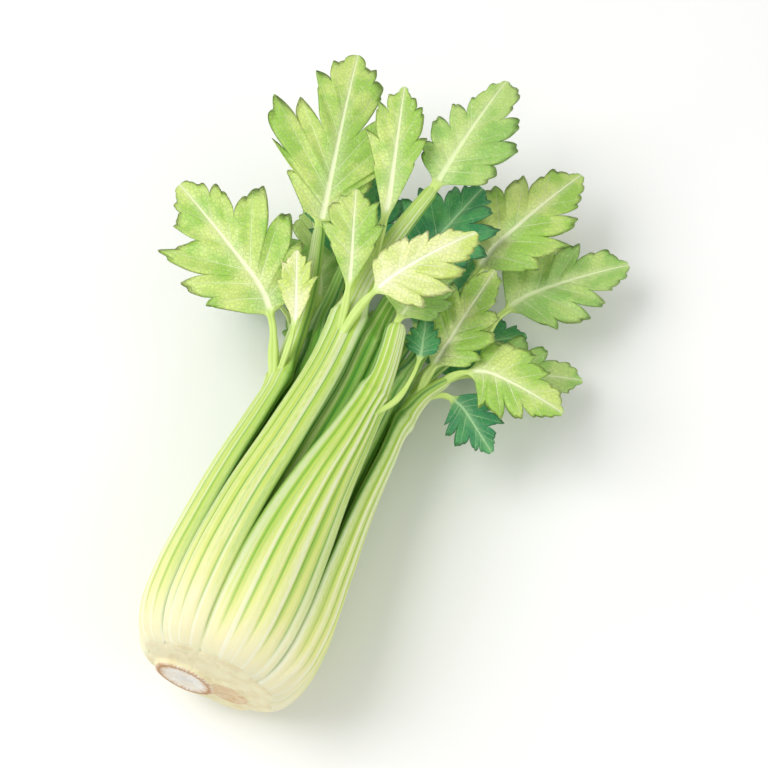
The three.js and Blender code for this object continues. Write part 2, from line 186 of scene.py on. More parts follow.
# ---------------------------------------------------------------- making meshes
def closed_tube(rows, first, last):
    """The points and faces of a tube through rows of points, closed onto a point at each end."""
    count, sides = rows.shape[:2]
    points = np.concatenate([rows.reshape(-1, 3), [first, last]])
    across = (np.arange(sides) + 1) % sides
    faces = []
    for k in range(count - 1):
        low, high = k * sides, (k + 1) * sides
        faces += [(low + i, low + j, high + j, high + i) for i, j in enumerate(across)]
    end = (count - 1) * sides
    faces += [(count * sides, j, i) for i, j in enumerate(across)]
    faces += [(count * sides + 1, end + i, end + j) for i, j in enumerate(across)]
    return points, faces


def volume_of(points, faces):
    """The signed volume inside the faces."""
    corners = [face[:3] for face in faces] + [(face[0], *face[2:]) for face in faces if len(face) == 4]
    a, b, c = points[np.array(corners)].swapaxes(0, 1)
    return (a * np.cross(b, c)).sum() / 6


def make_piece(name, points, faces, marks, material):
    """Adds a piece of the celery: its points in millimetres, and marks that its material reads."""
    if volume_of(points, faces) < 0:
        faces = [face[::-1] for face in faces]
    mesh = bpy.data.meshes.new(name)
    mesh.from_pydata((points * MM).tolist(), [], faces)
    mesh.polygons.foreach_set("use_smooth", [True] * len(faces))
    for mark, values in marks.items():
        layer = mesh.attributes.new(mark, "FLOAT_VECTOR", "POINT")
        layer.data.foreach_set("vector", np.asarray(values, np.float32).ravel())
    mesh.materials.append(material)
    mesh.update()
    piece = bpy.data.objects.new("look_" + name, mesh)
    bpy.context.scene.collection.objects.link(piece)
    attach(piece, "root")
    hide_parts(name)
    return piece


# ---------------------------------------------------------------- node materials
def linear(code):
    """A colour written as six hexadecimal digits, as linear red, green and blue."""
    parts = [int(code[i : i + 2], 16) / 255 for i in (0, 2, 4)]
    return [p / 12.92 if p < 0.04045 else ((p + 0.055) / 1.055) ** 2.4 for p in parts] + [1]


class Paint:
    """A material's nodes, added one call at a time. Each call gives the socket that it makes."""

    def __init__(self, name):
        self.material = bpy.data.materials.new(name)
        self.material.use_nodes = True
        self.tree = self.material.node_tree
        self.tree.nodes.clear()

    def node(self, kind, inputs, **settings):
        made = self.tree.nodes.new("ShaderNode" + kind)
        for key, value in settings.items():
            setattr(made, key, value)
        for key, value in inputs.items():
            if isinstance(value, bpy.types.NodeSocket):
                self.tree.links.new(value, made.inputs[key])
            else:
                made.inputs[key].default_value = value
        return made

    def math(self, operation, a, b=0.0, c=0.5, clamp=False):
        return self.node("Math", {0: a, 1: b, 2: c}, operation=operation, use_clamp=clamp).outputs[0]

    def ease(self, value, low, high):
        """0 at low and 1 at high, easing in between. low may be the larger one."""
        inputs = {0: value, 1: low, 2: high}
        return self.node("MapRange", inputs, interpolation_type="SMOOTHSTEP").outputs[0]

    def mark(self, name):
        """The three numbers of a mark on the mesh, and the whole."""
        whole = self.node("Attribute", {}, attribute_name=name).outputs["Vector"]
        parts = self.node("SeparateXYZ", {0: whole}).outputs
        return parts[0], parts[1], parts[2], whole

    def stretched(self, vector, scale):
        return self.node("Mapping", {"Vector": vector, "Scale": scale}).outputs[0]

    def noise(self, vector, scale, detail=3.0, roughness=0.5):
        inputs = {"Vector": vector, "Scale": scale, "Detail": detail, "Roughness": roughness}
        return self.node("TexNoise", inputs).outputs[0]

    def position(self):
        return self.node("TexCoord", {}).outputs["Object"]

    def mix(self, share, low, high):
        """A mix of two colours. A colour is a socket or six hexadecimal digits."""
        a, b = [linear(c) if isinstance(c, str) else c for c in (low, high)]
        return self.node("Mix", {0: share, 6: a, 7: b}, data_type="RGBA").outputs[2]

    def ramp(self, value, stops):
        """Colours at places from 0 to 1."""
        made = self.node("ValToRGB", {0: value})
        elements = made.color_ramp.elements
        while len(elements) < len(stops):
            elements.new(1.0)
        for element, (place, code) in zip(elements, stops):
            element.position = place
            element.color = linear(code)
        return made.outputs[0]

    def bump(self, height, distance, under=None):
        inputs = {"Height": height, "Distance": distance, "Strength": 1.0}
        if under is not None:
            inputs["Normal"] = under
        return self.node("Bump", inputs).outputs[0]

    def finish(self, **inputs):
        shader = self.node("BsdfPrincipled", {k.replace("_", " "): v for k, v in inputs.items()})
        output = self.node("OutputMaterial", {"Surface": shader.outputs[0]})
        output.is_active_output = True
        return self.material


def stalk_paint(name, stops, groove_green_and_shade, crest, gap_shade_colour):
    """A ribbed stalk: cream at the base, greener to the top, with green grooves and fine fibres; painted
    highlights in pale stripes and on the rib crests, painted shade in green stripes, towards its edges and
    in the gaps between stalks.
    """
    p = Paint(name)
    share, edge, inside, _ = p.mark("place")
    _, _, rib, fibre = p.mark("grain")
    cloud = p.noise(p.position(), 60, 4)
    shifted = p.math("ADD", share, p.math("MULTIPLY", p.math("SUBTRACT", cloud, 0.5), 0.16))
    colour = p.ramp(p.math("DIVIDE", shifted, 1.8, clamp=True), stops)
    streaks = p.noise(p.stretched(fibre, (0.9, 0.035, 0)), 6, 5, 0.6)
    grown = p.ease(share, 0.04, 0.45)
    bands = p.noise(p.stretched(fibre, (0.17, 0.0035, 0)), 1, 2)
    # painted highlight: broad pale stripes along the stalk, in the crest colour
    bright = p.math("MULTIPLY", p.ease(bands, 0.5, 0.6), 0.55)
    colour = p.mix(bright, colour, crest)
    # painted shade: broad green stripes between the pale ones
    shade = p.math("MULTIPLY", p.ease(bands, 0.48, 0.34), p.math("MULTIPLY", grown, 0.55))
    colour = p.mix(shade, colour, groove_green_and_shade)
    # green in the rib grooves: partly the stalk's own greener grooves, partly painted shade in them
    low = p.math("MULTIPLY", p.ease(rib, 0.55, 0.0), p.math("MULTIPLY_ADD", grown, 0.6, 0.5))
    colour = p.mix(low, colour, groove_green_and_shade)
    # greener towards the stalk's edges: partly its own colour, partly painted shade where its sides turn
    # away from the light
    sides = p.math("MULTIPLY", p.ease(edge, 0.45, 1.0), p.math("MULTIPLY", grown, 0.55))
    colour = p.mix(sides, colour, groove_green_and_shade)
    # painted shade: a dark green line along each stalk's edges, where stalks meet and the gaps between them
    # lie in shade
    painted_gap_shade = p.math("MULTIPLY", p.ease(edge, 0.82, 0.98), p.ease(share, 0.0, 0.1))
    colour = p.mix(p.math("MULTIPLY", painted_gap_shade, 0.85), colour, gap_shade_colour)
    # painted highlight on the rib crests, in the crest colour
    high = p.math("MULTIPLY", p.ease(rib, 0.6, 1.0), p.ease(streaks, 0.35, 0.65))
    colour = p.mix(p.math("MULTIPLY", high, 0.45), colour, crest)
    thin = p.math("MULTIPLY", p.ease(streaks, 0.42, 0.3), 0.4)
    colour = p.mix(p.math("MULTIPLY", thin, grown), colour, groove_green_and_shade)
    colour = p.mix(p.math("MULTIPLY", inside, 0.35), colour, "a9cf5c")
    roughness = p.math("MULTIPLY_ADD", streaks, 0.25, 0.27)
    fine = p.noise(p.stretched(fibre, (1.0, 0.05, 0)), 14, 4)
    normal = p.bump(fine, 0.0002)
    normal = p.bump(p.noise(p.position(), 900, 3), 0.00006, normal)
    return p.finish(
        Base_Color=colour,
        Roughness=roughness,
        Normal=normal,
        Subsurface_Weight=0.12,
        Subsurface_Scale=0.004,
    )


def leaf_paint(name, light, dark, vein, under):
    """A leaf: two tones of green in patches, painted shade on one half and towards the edges, pale veins, a
    fine net, and a paler underside.
    """
    p = Paint(name)
    out, row, gap, _ = p.mark("vein")
    reach, stalk, top, _ = p.mark("place")
    patches = p.noise(p.position(), 55, 4, 0.55)
    # one half of the blade darker than the other, and the blade darker towards its edges: painted shade,
    # leaving the part by the midrib lighter as a painted highlight; the patches are the leaf's own tone
    half = p.math("MULTIPLY_ADD", p.ease(out, -2.0, 2.0), 0.24, -0.08)
    tone = p.math("ADD", p.ease(patches, 0.36, 0.66), p.math("MULTIPLY_ADD", reach, 0.25, half), clamp=True)
    colour = p.mix(tone, light, dark)
    speckle = p.noise(p.position(), 700, 3, 0.6)
    colour = p.mix(p.math("MULTIPLY", p.ease(speckle, 0.5, 0.75), 0.18), colour, light)
    cells = p.node(
        "TexVoronoi", {"Vector": p.position(), "Scale": 420.0}, feature="DISTANCE_TO_EDGE"
    ).outputs[0]
    net = p.ease(cells, 0.09, 0.02)
    colour = p.mix(p.math("MULTIPLY", net, 0.16), colour, vein)
    from_vein = p.math("MULTIPLY", p.math("PINGPONG", row, 0.5), gap)
    width = p.math("MULTIPLY_ADD", reach, -0.3, 0.42)
    side = p.ease(p.math("DIVIDE", from_vein, width), 1.3, 0.5)
    middle = p.ease(p.math("ABSOLUTE", out), 1.25, 0.5)
    halo = p.math("MULTIPLY", p.ease(p.math("ABSOLUTE", out), 6.0, 0.8), 0.26)
    colour = p.mix(halo, colour, vein)
    pale = p.math("MAXIMUM", p.math("MULTIPLY", side, 0.5), p.math("MULTIPLY", middle, 0.8))
    colour = p.mix(pale, colour, vein)
    colour = p.mix(p.math("MULTIPLY", p.math("SUBTRACT", 1.0, top), 0.55), colour, under)
    stem_tone = p.mix(p.noise(p.position(), 90, 3), "d3e68c", "b4d560")
    colour = p.mix(stalk, colour, stem_tone)
    roughness = p.math("MULTIPLY_ADD", patches, 0.3, 0.3)
    grooves = p.math("SUBTRACT", 1.0, p.math("MAXIMUM", net, p.math("MAXIMUM", side, middle)))
    normal = p.bump(grooves, 0.00022)
    normal = p.bump(speckle, 0.00008, normal)
    return p.finish(Base_Color=colour, Roughness=roughness, Normal=normal)


def crown_paint():
    """The cream crown, with a white cut face in a tan rim and the scar of an older cut beside it."""
    p = Paint("crown")
    turn_x, turn_y, share, _ = p.mark("cut")
    scar, face, _, _ = p.mark("place")
    cloud = p.noise(p.position(), 140, 4)
    colour = p.mix(p.ease(cloud, 0.35, 0.7), "f5eec6", "ecdfb2")
    around = p.node("CombineXYZ", {0: turn_x, 1: turn_y, 2: p.math("MULTIPLY", share, 0.12)}).outputs[0]
    ticks = p.noise(around, 16, 3, 0.7)
    pith = p.mix(p.ease(cloud, 0.3, 0.7), "fffdf6", "f5ecda")
    rim = p.math("MULTIPLY", p.ease(share, 0.66, 0.95), p.ease(ticks, 0.38, 0.58))
    cut = p.mix(p.math("MULTIPLY", rim, 0.85), pith, "cf9f68")
    edge = p.math("MULTIPLY", p.ease(share, 0.9, 0.98), p.ease(share, 1.12, 1.0))
    cut = p.mix(p.math("MULTIPLY", edge, 0.8), cut, "b98950")
    dots = p.node("TexVoronoi", {"Vector": p.position(), "Scale": 330.0}).outputs[0]
    cut = p.mix(p.math("MULTIPLY", p.ease(dots, 0.35, 0.1), 0.25), cut, "d9bf94")
    colour = p.mix(face, colour, cut)
    old = p.mix(p.ease(ticks, 0.35, 0.65), "efdcb9", "d8b27c")
    colour = p.mix(p.math("MULTIPLY", scar, 0.9), colour, old)
    normal = p.bump(p.math("ADD", ticks, dots), 0.0005)
    normal = p.bump(p.noise(p.position(), 500, 4), 0.00025, normal)
    return p.finish(
        Base_Color=colour, Roughness=0.75, Normal=normal, Subsurface_Weight=0.1, Subsurface_Scale=0.003
    )


# ---------------------------------------------------------------- stalks
def outside_first(ring):
    """The order of a stalk ring's points that starts with the seven round the outside."""
    steps = np.linalg.norm(np.roll(ring, -1, axis=0) - ring, axis=1)
    spread = [np.std(np.roll(steps, -k)[:6]) for k in range(STALK_SIDES)]
    return np.roll(np.arange(STALK_SIDES), -int(np.argmin(spread)))


def stalk_sides():
    """Where the fine points of a stalk's ring lie between the CAD ring's points."""
    outside = np.arange(0, 6, 1 / 8)
    inside = np.arange(6, STALK_SIDES, 1 / 4)
    return np.concatenate([outside, inside])


def round_weights(places):
    """How much of each CAD point goes into each fine point, for a smooth closed curve."""
    weights = np.zeros((len(places), STALK_SIDES))
    for row, place in enumerate(places):
        k, t = int(place), place - int(place)
        shares = (
            (-(t**3) + 2 * t**2 - t) / 2,
            (3 * t**3 - 5 * t**2 + 2) / 2,
            (-3 * t**3 + 4 * t**2 + t) / 2,
            (t**3 - t**2) / 2,
        )
        for step, share in enumerate(shares):
            weights[row, (k + step - 1) % STALK_SIDES] += share
    return weights


def stalk_rows(total, node):
    """Places along a stalk for its rows, closer together near the branching level."""
    places = [0.0, 0.25, 0.8, 1.8]
    while places[-1] < total - STALK_STEP:
        near = abs(places[-1] - node) < NODE_REACH
        places.append(places[-1] + (NODE_STEP if near else STALK_STEP))
    places = [place for place in places if place < total - 5]
    places += [total - back for back in (5, 4, 3, 2.1, 1.3, 0.7, 0.25, 0)]
    return np.array(sorted(places))


def rounded_ends(rows, along, total, start_radius, end_radius):
    """The rows, drawn in towards their middles over the last stretch at each end."""
    middles = rows.mean(axis=1, keepdims=True)
    low = np.clip(along / start_radius, 0, 1)
    high = np.clip((total - along) / end_radius, 0, 1)
    share = np.sqrt(1 - (1 - low) ** 2) * 0.12 + 0.88
    share = share * (np.sqrt(1 - (1 - high) ** 2) * 0.65 + 0.35)
    return middles + (rows - middles) * share[:, None, None]


def read_stalk(name):
    """A CAD stalk's rings from its base to the end of its stem, each with its outside first."""
    _, rings, _ = rings_of(name, STALK_SIDES)
    size = [np.ptp(ring, axis=0).max() for ring in (rings[0], rings[-1])]
    rings = rings if size[0] > size[1] else rings[::-1]
    return rings[:, outside_first(rings[2])]


def stem_line(rings):
    """The middle line of a stalk and its stem, as close points."""
    middles = rings.mean(axis=1)
    knots = lengths_along(middles)
    return spline(knots, middles, np.arange(0, knots[-1], 0.5))


def outward_of(rows):
    """The directions straight out of the surface at each point."""
    normals = unit(np.cross(np.roll(rows, -1, 1) - np.roll(rows, 1, 1), np.gradient(rows, axis=0)))
    return normals * np.sign(((rows - rows.mean(axis=1, keepdims=True)) * normals).sum())


def made_wider(rows, lateral, shares):
    """The rows, each made wider along its lateral direction by its share."""
    shift = ((rows - rows.mean(axis=1, keepdims=True)) * lateral).sum(-1, keepdims=True) * lateral
    return rows + shift * shares[:, None, None]


def rib_crests(s, ribs, draw):
    """Where each place across the outside is in the ribs, counted, and how high it is on its rib."""
    phase = ribs * (s + 1) / 2
    own = 0.65 + 0.5 * draw.random(ribs + 1)
    crest = np.abs(np.sin(np.pi * phase)) ** 0.75
    return phase, crest * own[np.clip(phase.astype(int), 0, ribs)]


def node_swelling(away, phase, inside):
    """The swelling where the stem branches off, with a scalloped line across the ribs."""
    scallop = away - 1.2 - 1.8 * np.cos(2 * np.pi * phase)
    return SWELLING * bell(away, 6.0) + 0.55 * bell(scallop, 1.0) * (1 - inside)


def stacked(*values):
    """Three numbers for each point, from arrays that fit the rows or the points across them."""
    return np.stack(np.broadcast_arrays(*values), axis=-1)


def with_ends(values):
    """Marks for a tube's points and then for its two ends."""
    ends = [values[0].mean(axis=0)[None], values[-1].mean(axis=0)[None]]
    return np.concatenate([values.reshape(-1, values.shape[-1]), *ends])


def make_stalk(name, rings, kind, material, draw):
    """A stalk with its stem: fine rows through the CAD rings, ribbed and swollen at the node."""
    knots = lengths_along(rings.mean(axis=1))
    total, node = knots[-1], knots[-1 - STEM_RINGS]
    along = stalk_rows(total, node)
    places = stalk_sides()
    rows = np.einsum("fj,rjc->rfc", round_weights(places), spline(knots, rings, along))
    s = np.where(places <= 6, places / 3 - 1, 1 - (places - 6) / 2)
    inside = smooth(places, 6.3, 7) * smooth(-places, -9.7, -9)

    lateral = spline(knots, unit(rings[:, 6] - rings[:, 0]), along)[:, None]
    wider = SNUG[kind] * (1 - smooth(along, node * 0.35, node * 0.85))
    normals = outward_of(rows)
    rows = made_wider(rows, lateral, wider)

    width = np.linalg.norm(rings[2, 6] - rings[2, 0])
    phase, crest = rib_crests(s, max(3, round(width / RIB_WIDTH)), draw)
    stretch = smooth(along, -4, 30) * (1 - 0.72 * smooth(along, node - 12, node + 20))
    flat = (1 - inside) * (1 - 0.7 * smooth(np.abs(s), 0.85, 1))
    lift = RIB_HEIGHT[kind] * np.outer(stretch, (crest - 0.6) * flat)
    lift += node_swelling(along[:, None] - node, phase, inside)
    rows = rounded_ends(rows + normals * lift[..., None], along, total, 3.0, 5.0)

    share = np.where(along < node, along / node, 1 + (along - node) / 100)
    rib = np.outer(stretch, crest * (1 - inside)) + (1 - stretch)[:, None] * 0.7
    girth = np.linalg.norm(np.diff(rings[2], axis=0), axis=1).sum()
    across = girth * s / 2 + 40 * draw.random()
    marks = {
        "place": with_ends(stacked(share[:, None], np.abs(s), inside)),
        "grain": with_ends(stacked(across, along[:, None], rib)),
    }
    points, faces = closed_tube(rows, rows[0].mean(axis=0), rows[-1].mean(axis=0))
    return make_piece(name, points, faces, marks, material)


# ---------------------------------------------------------------- leaves
def across_leaf(ring):
    """How far it is through a leaf's ring from the midrib to its keel, about."""
    return min(np.linalg.norm(ring[i] - ring[i + 3]) for i in range(3))


def edge_first(ring):
    """The order of a leaf ring's points: edge, half, midrib, half, edge, keel."""
    pairs = [np.linalg.norm(ring[i] - ring[i + 3]) for i in range(3)]
    i = int(np.argmin(pairs))
    apart = [np.linalg.norm(ring[(k - 1) % 6] - ring[(k + 1) % 6]) for k in (i, i + 3)]
    keel = i if apart[0] > apart[1] else i + 3
    return np.roll(np.arange(LEAF_SIDES), -(keel + 1))


def read_leaf(name):
    """A CAD leaf's rings from its stalk to its blade, each ordered from edge to edge, and its tip."""
    first, rings, last = rings_of(name, LEAF_SIDES)
    if across_leaf(rings[0]) < across_leaf(rings[-1]):
        rings, last = rings[::-1], first
    return rings[:, edge_first(rings[len(rings) // 2 + 1])], last


def lobes_of(reach):
    """Which rows of the outline are tips of teeth and which are the cuts between them."""
    ahead = np.append(reach[1:], 0)
    behind = np.insert(reach[:-1], 0, 0)
    tips = (reach >= behind) & (reach > ahead)
    cuts = (reach < behind) & (reach <= ahead)
    cuts[0] = False
    return tips, cuts


def vein_rows(tips):
    """A number for each row of the outline that is whole where a side vein runs."""
    found = np.flatnonzero(tips)
    rows = np.arange(len(tips) + 1)
    values = np.interp(rows, found, np.arange(1, len(found) + 1))
    before = rows < found[0]
    values[before] = 1 - 0.5 * (found[0] - rows[before]) / max(found[0], 1)
    after = rows > found[-1]
    values[after] = len(found) + 0.5 * (rows[after] - found[-1]) / (len(tips) - found[-1])
    return values


def edge_tangents(edge, midrib, tips, cuts):
    """The directions in which the edge arrives at each row and leaves it."""
    through = (edge[2:] - edge[:-2]) / 2
    through = np.concatenate([[edge[1] - edge[0]], through, [edge[-1] - edge[-2]]])
    steps = np.linalg.norm(np.diff(edge, axis=0), axis=1)
    outward = unit(edge - midrib)
    arriving, leaving = through.copy(), through.copy()
    for k in range(len(tips)):
        if cuts[k]:
            arriving[k] = -outward[k] * steps[k - 1] * 1.2
            leaving[k] = outward[k] * steps[k] * 1.2
        elif tips[k] and 0 < k:
            arriving[k] = through[k] * 0.7 + outward[k] * steps[k - 1] * 0.3
            leaving[k] = through[k] * 0.7 - outward[k] * steps[k] * 0.3
    onward = unit(midrib[-1] - midrib[-2])
    inward = unit(midrib[-2] - edge[-2])
    leaving[-2] = (onward * 1.3 - inward * 0.35) * steps[-1]
    arriving[-1] = (onward * 0.5 + inward * 0.75) * steps[-1]
    return arriving, leaving


def notch(arm, step, t):
    """A small cut halfway along a stretch of edge that has no cut of its own."""
    depth = NOTCH * np.clip(1 - np.abs(t - 0.5) / 0.32, 0, 1) ** 1.4
    return depth[:, None] * unit(arm) * np.linalg.norm(step)


def blade_rows(rings, tip):
    """The blade's fine rows: midrib, both edges, the halves' bulge, the way up, and vein numbers."""
    midrib = np.concatenate([rings[:, 2], [tip]])
    up = unit(rings[:, 2] - rings[:, 5])
    up = np.concatenate([up, up[-1:]])
    edges = [np.concatenate([rings[:, k], [tip]]) for k in (0, 4)]
    bulges = []
    for edge, half in ((edges[0], 1), (edges[1], 3)):
        bulge = rings[:, half] - (edge[:-1] + midrib[:-1]) / 2
        bulges.append(np.concatenate([bulge, np.zeros((1, 3))]))
    reach = sum(np.linalg.norm(edge - midrib, axis=1)[:-1] for edge in edges) / 2
    tips, cuts = lobes_of(reach)
    veins = vein_rows(tips)
    tangents = [edge_tangents(edge, midrib, tips, cuts) for edge in edges]
    knots = lengths_along(midrib)

    found = {key: [] for key in ("left", "right", "bulge_left", "bulge_right", "vein", "at")}
    for k in range(len(midrib) - 1):
        longest = max(np.linalg.norm(edge[k + 1] - edge[k]) for edge in edges)
        steps = int(np.clip(math.ceil(longest / EDGE_STEP), 4, 16))
        t = np.arange(steps) / steps
        if k == len(midrib) - 2:
            t = 1 - (1 - t) ** 1.3
        whole = k + 1 < len(tips) and not (cuts[k] or cuts[k + 1])
        for side, edge, (arriving, leaving) in zip(("left", "right"), edges, tangents):
            curve = hermite(edge[k], edge[k + 1], leaving[k], arriving[k + 1], t[:, None])
            if whole and k > 0:
                curve = curve - notch(edge[k] - midrib[k], edge[k + 1] - edge[k], t)
            found[side].append(curve)
        for side, bulge in zip(("bulge_left", "bulge_right"), bulges):
            found[side].append(bulge[k] + (bulge[k + 1] - bulge[k]) * t[:, None])
        found["vein"].append(veins[k] + (veins[k + 1] - veins[k]) * t)
        found["at"].append(knots[k] + (knots[k + 1] - knots[k]) * t)
    found = {key: np.concatenate(values) for key, values in found.items()}
    found["midrib"] = spline(knots, midrib, found["at"])
    found["up"] = unit(spline(knots, up, found["at"]))
    found["length"] = knots[-1]
    return found


def half_blade(rows, side, keel, draw):
    """One half of the blade, from the midrib out: places, distances out, shares out and lifts."""
    midrib, up, at = rows["midrib"], rows["up"], rows["at"]
    edge, bulge = rows[side], rows["bulge_" + side]
    along = unit(np.gradient(midrib, axis=0))
    arm = edge - midrib
    wide = np.linalg.norm(arm - (arm * along).sum(-1, keepdims=True) * along, axis=1)
    inner = np.clip(1.2 * keel / np.maximum(wide, 0.1), 0.04, 0.5)
    outside = HALF_COLUMNS - 3
    outer = inner[:, None] + (1 - inner)[:, None] * np.arange(1, outside + 1) / outside
    s = np.concatenate([np.zeros((len(at), 1)), inner[:, None] / 2, inner[:, None], outer], axis=1)
    places = midrib[:, None] + arm[:, None] * s[..., None]
    places = places + 4 * (s * (1 - s))[..., None] * bulge[:, None]
    size = np.clip(wide / 22, 0.15, 1.2)[:, None]
    vein = rows["vein"][:, None]
    puff = PUFF * size * np.sin(np.pi * vein) ** 2 * np.sin(np.pi * np.clip(s, 0, 1)) ** 0.8
    turn, pace = draw.random() * 2 * np.pi, 0.55 + 0.3 * draw.random()
    wave = WAVE * size * np.sin(2 * np.pi * pace * vein + turn) * s**2
    ends = smooth(at, 0, 8)[:, None] * smooth(rows["length"] - at, 0, 10)[:, None]
    places = places + up[:, None] * ((puff + wave) * ends)[..., None]
    return places, s * wide[:, None], s


def once_round(left_top, right_top, right_under, left_under):
    """Values for a blade's closed sections, from those of its halves, midrib first, over and under."""
    parts = [left_top[:, ::-1], right_top[:, 1:], right_under[:, -2::-1], left_under[:, 1:-1]]
    return np.concatenate(parts, axis=1)


def blade_sections(rows, keel, draw):
    """The blade's rows as closed sections, and for each point its distance out, share out and side."""
    up = rows["up"][:, None]
    thick = BLADE_THICKNESS / 2
    sections, outs, shares = {}, {}, {}
    for side in ("left", "right"):
        places, out, s = half_blade(rows, side, keel, draw)
        inside = np.clip(1 - (out / keel[:, None]) ** 2, 0, None)
        channel = 0.3 * keel[:, None] * bell(out / keel[:, None], 0.55)
        rim = np.where(s > 0.999, 0, thick)
        sections[side, "top"] = places + up * (rim - channel)[..., None]
        sections[side, "under"] = places - up * (rim + 1.25 * keel[:, None] * np.sqrt(inside))[..., None]
        outs[side], shares[side] = out, s
    order = (("left", "top"), ("right", "top"), ("right", "under"), ("left", "under"))
    places = once_round(*(sections[key] for key in order))
    out = once_round(-outs["left"], outs["right"], outs["right"], -outs["left"])
    share = once_round(shares["left"], shares["right"], shares["right"], shares["left"])
    return places, out, share


def rooted_in(start, lines):
    """A place inside the nearest stem, a little way back down it, for a leaf's stalk to grow from."""
    nearest = min(lines, key=lambda line: np.linalg.norm(line - start, axis=1).min())
    away = np.linalg.norm(nearest - start, axis=1)
    closest = int(np.argmin(away))
    along = lengths_along(nearest)
    back = along[closest] - BACK - BACK_SLANT * away[closest]
    return np.array([np.interp(back, along, nearest[:, k]) for k in range(3)])


def stalklet_sections(rings, first, keel, root, girth):
    """The leaf's own round stalk, grooved on top, from inside its stem to the blade's first section."""
    middles = rings[:2].mean(axis=1)
    ups = unit(rings[:3, 2] - rings[:3, 5])
    rights = unit(rings[:3, 4] - rings[:3, 0])
    last = rings[2, 2] - ups[2] * keel
    middles = np.concatenate([middles, [last]])
    middles = np.concatenate([[root], middles])
    knots = lengths_along(middles)
    sunk = knots[1]
    ups = np.concatenate([ups[:1], ups])
    rights = np.concatenate([rights[:1], rights])
    at = np.linspace(0, knots[-1], max(6, int(knots[-1] / 1.3)))[:-1]
    centre = spline(knots, middles, at)
    up, right = unit(spline(knots, ups, at)), unit(spline(knots, rights, at))
    count = first.shape[0]
    angle = np.pi - np.arange(count) * 2 * np.pi / count
    reach = min(sunk + 12.0, knots[-1])
    flare = smooth(at, 0, sunk) * (1 - smooth(at, sunk, reach)) * STALKLET_FLARE
    radius = keel + (STALKLET_RADIUS * girth - keel) * (1 - at / knots[-1]) + flare * girth
    groove = 1 - 0.3 * bell(angle - np.pi / 2, 0.5)
    ring = np.cos(angle)[None, :, None] * right[:, None] + np.sin(angle)[None, :, None] * up[:, None]
    tube = centre[:, None] + ring * (radius[:, None] * groove)[..., None]
    spread = smooth(at, knots[-1] - 7.0, knots[-1] + 1.0)[:, None, None] ** 2.2
    wings = centre[:, None] + (first - last)[None]
    return tube * (1 - spread) + wings * spread, spread[:, 0, 0]


def make_leaf(name, material, draw, lines):
    """A leaf in one closed piece: its blade and its own stalk, rooted in the nearest stem."""
    rings, tip = read_leaf(name)
    blade = rings[2:]
    rows = blade_rows(blade, tip)
    share = rows["at"] / rows["length"]
    stout = np.clip(rows["length"] / 42, 1.0, 1.9)
    keel = 0.3 + (stout - 0.3) * (1 - share) ** 1.2
    places, out, reach = blade_sections(rows, keel, draw)
    root = rooted_in(rings[0].mean(axis=0), lines)
    girth = np.clip(rows["length"] / 60, 0.6, 1.0)
    stalk, spread = stalklet_sections(rings, places[0], keel[0], root, girth)
    everything = np.concatenate([stalk, places])

    sides = places.shape[1]
    vein = np.broadcast_to(rows["vein"][:, None], out.shape)
    gap = np.linalg.norm(np.gradient(places, axis=0), axis=-1)
    gap = gap / np.maximum(np.abs(np.gradient(rows["vein"]))[:, None], 1e-4)
    count = len(stalk)
    early = np.zeros((count, sides))
    own = np.concatenate([np.broadcast_to((1 - spread)[:, None] ** 0.6, early.shape), np.zeros(out.shape)])
    top = np.broadcast_to(np.arange(sides) < 2 * HALF_COLUMNS - 1, own.shape)
    slim = out / keel[:, None]
    mark_vein = np.stack([
        np.concatenate([early + slim[0] * spread[:, None], slim]),
        np.concatenate([early + 0.5, vein]),
        np.concatenate([early + 8, np.clip(gap, 0, 40)]),
    ], axis=-1)
    mark_place = np.stack([np.concatenate([early, reach]), own, top], axis=-1)
    points, faces = closed_tube(everything, stalk[0].mean(axis=0), tip)
    marks = {}
    for mark, values in (("vein", mark_vein), ("place", mark_place)):
        ends = [values[0].mean(axis=0)[None], values[-1, HALF_COLUMNS - 1][None]]
        marks[mark] = np.concatenate([values.reshape(-1, 3), *ends])
    return make_piece(name, points, faces, marks, material)


# ---------------------------------------------------------------- the crown
def plane_groups(name, axis):
    """The node's flat ends that face against the axis: for each its depth along it and its points."""
    mesh = frame["nodes"][name].data
    found = {}
    for polygon in mesh.polygons:
        corners = np.array([mesh.vertices[v].co for v in polygon.vertices]) / MM
        normal = unit(np.cross(corners[1] - corners[0], corners[2] - corners[0]))
        if normal @ axis < -0.999:
            found.setdefault(round(float(corners[0] @ axis), 1), []).extend(corners)
    return sorted((depth, np.array(points)) for depth, points in found.items())


def circle_through(points, across, upright):
    """The middle and radius of the circle that fits the points best."""
    x, y = points @ across, points @ upright
    table = np.stack([2 * x, 2 * y, np.ones(len(x))], axis=1)
    (a, b, c), *_ = np.linalg.lstsq(table, x * x + y * y, rcond=None)
    return np.array([a, b]), math.sqrt(c + a * a + b * b)


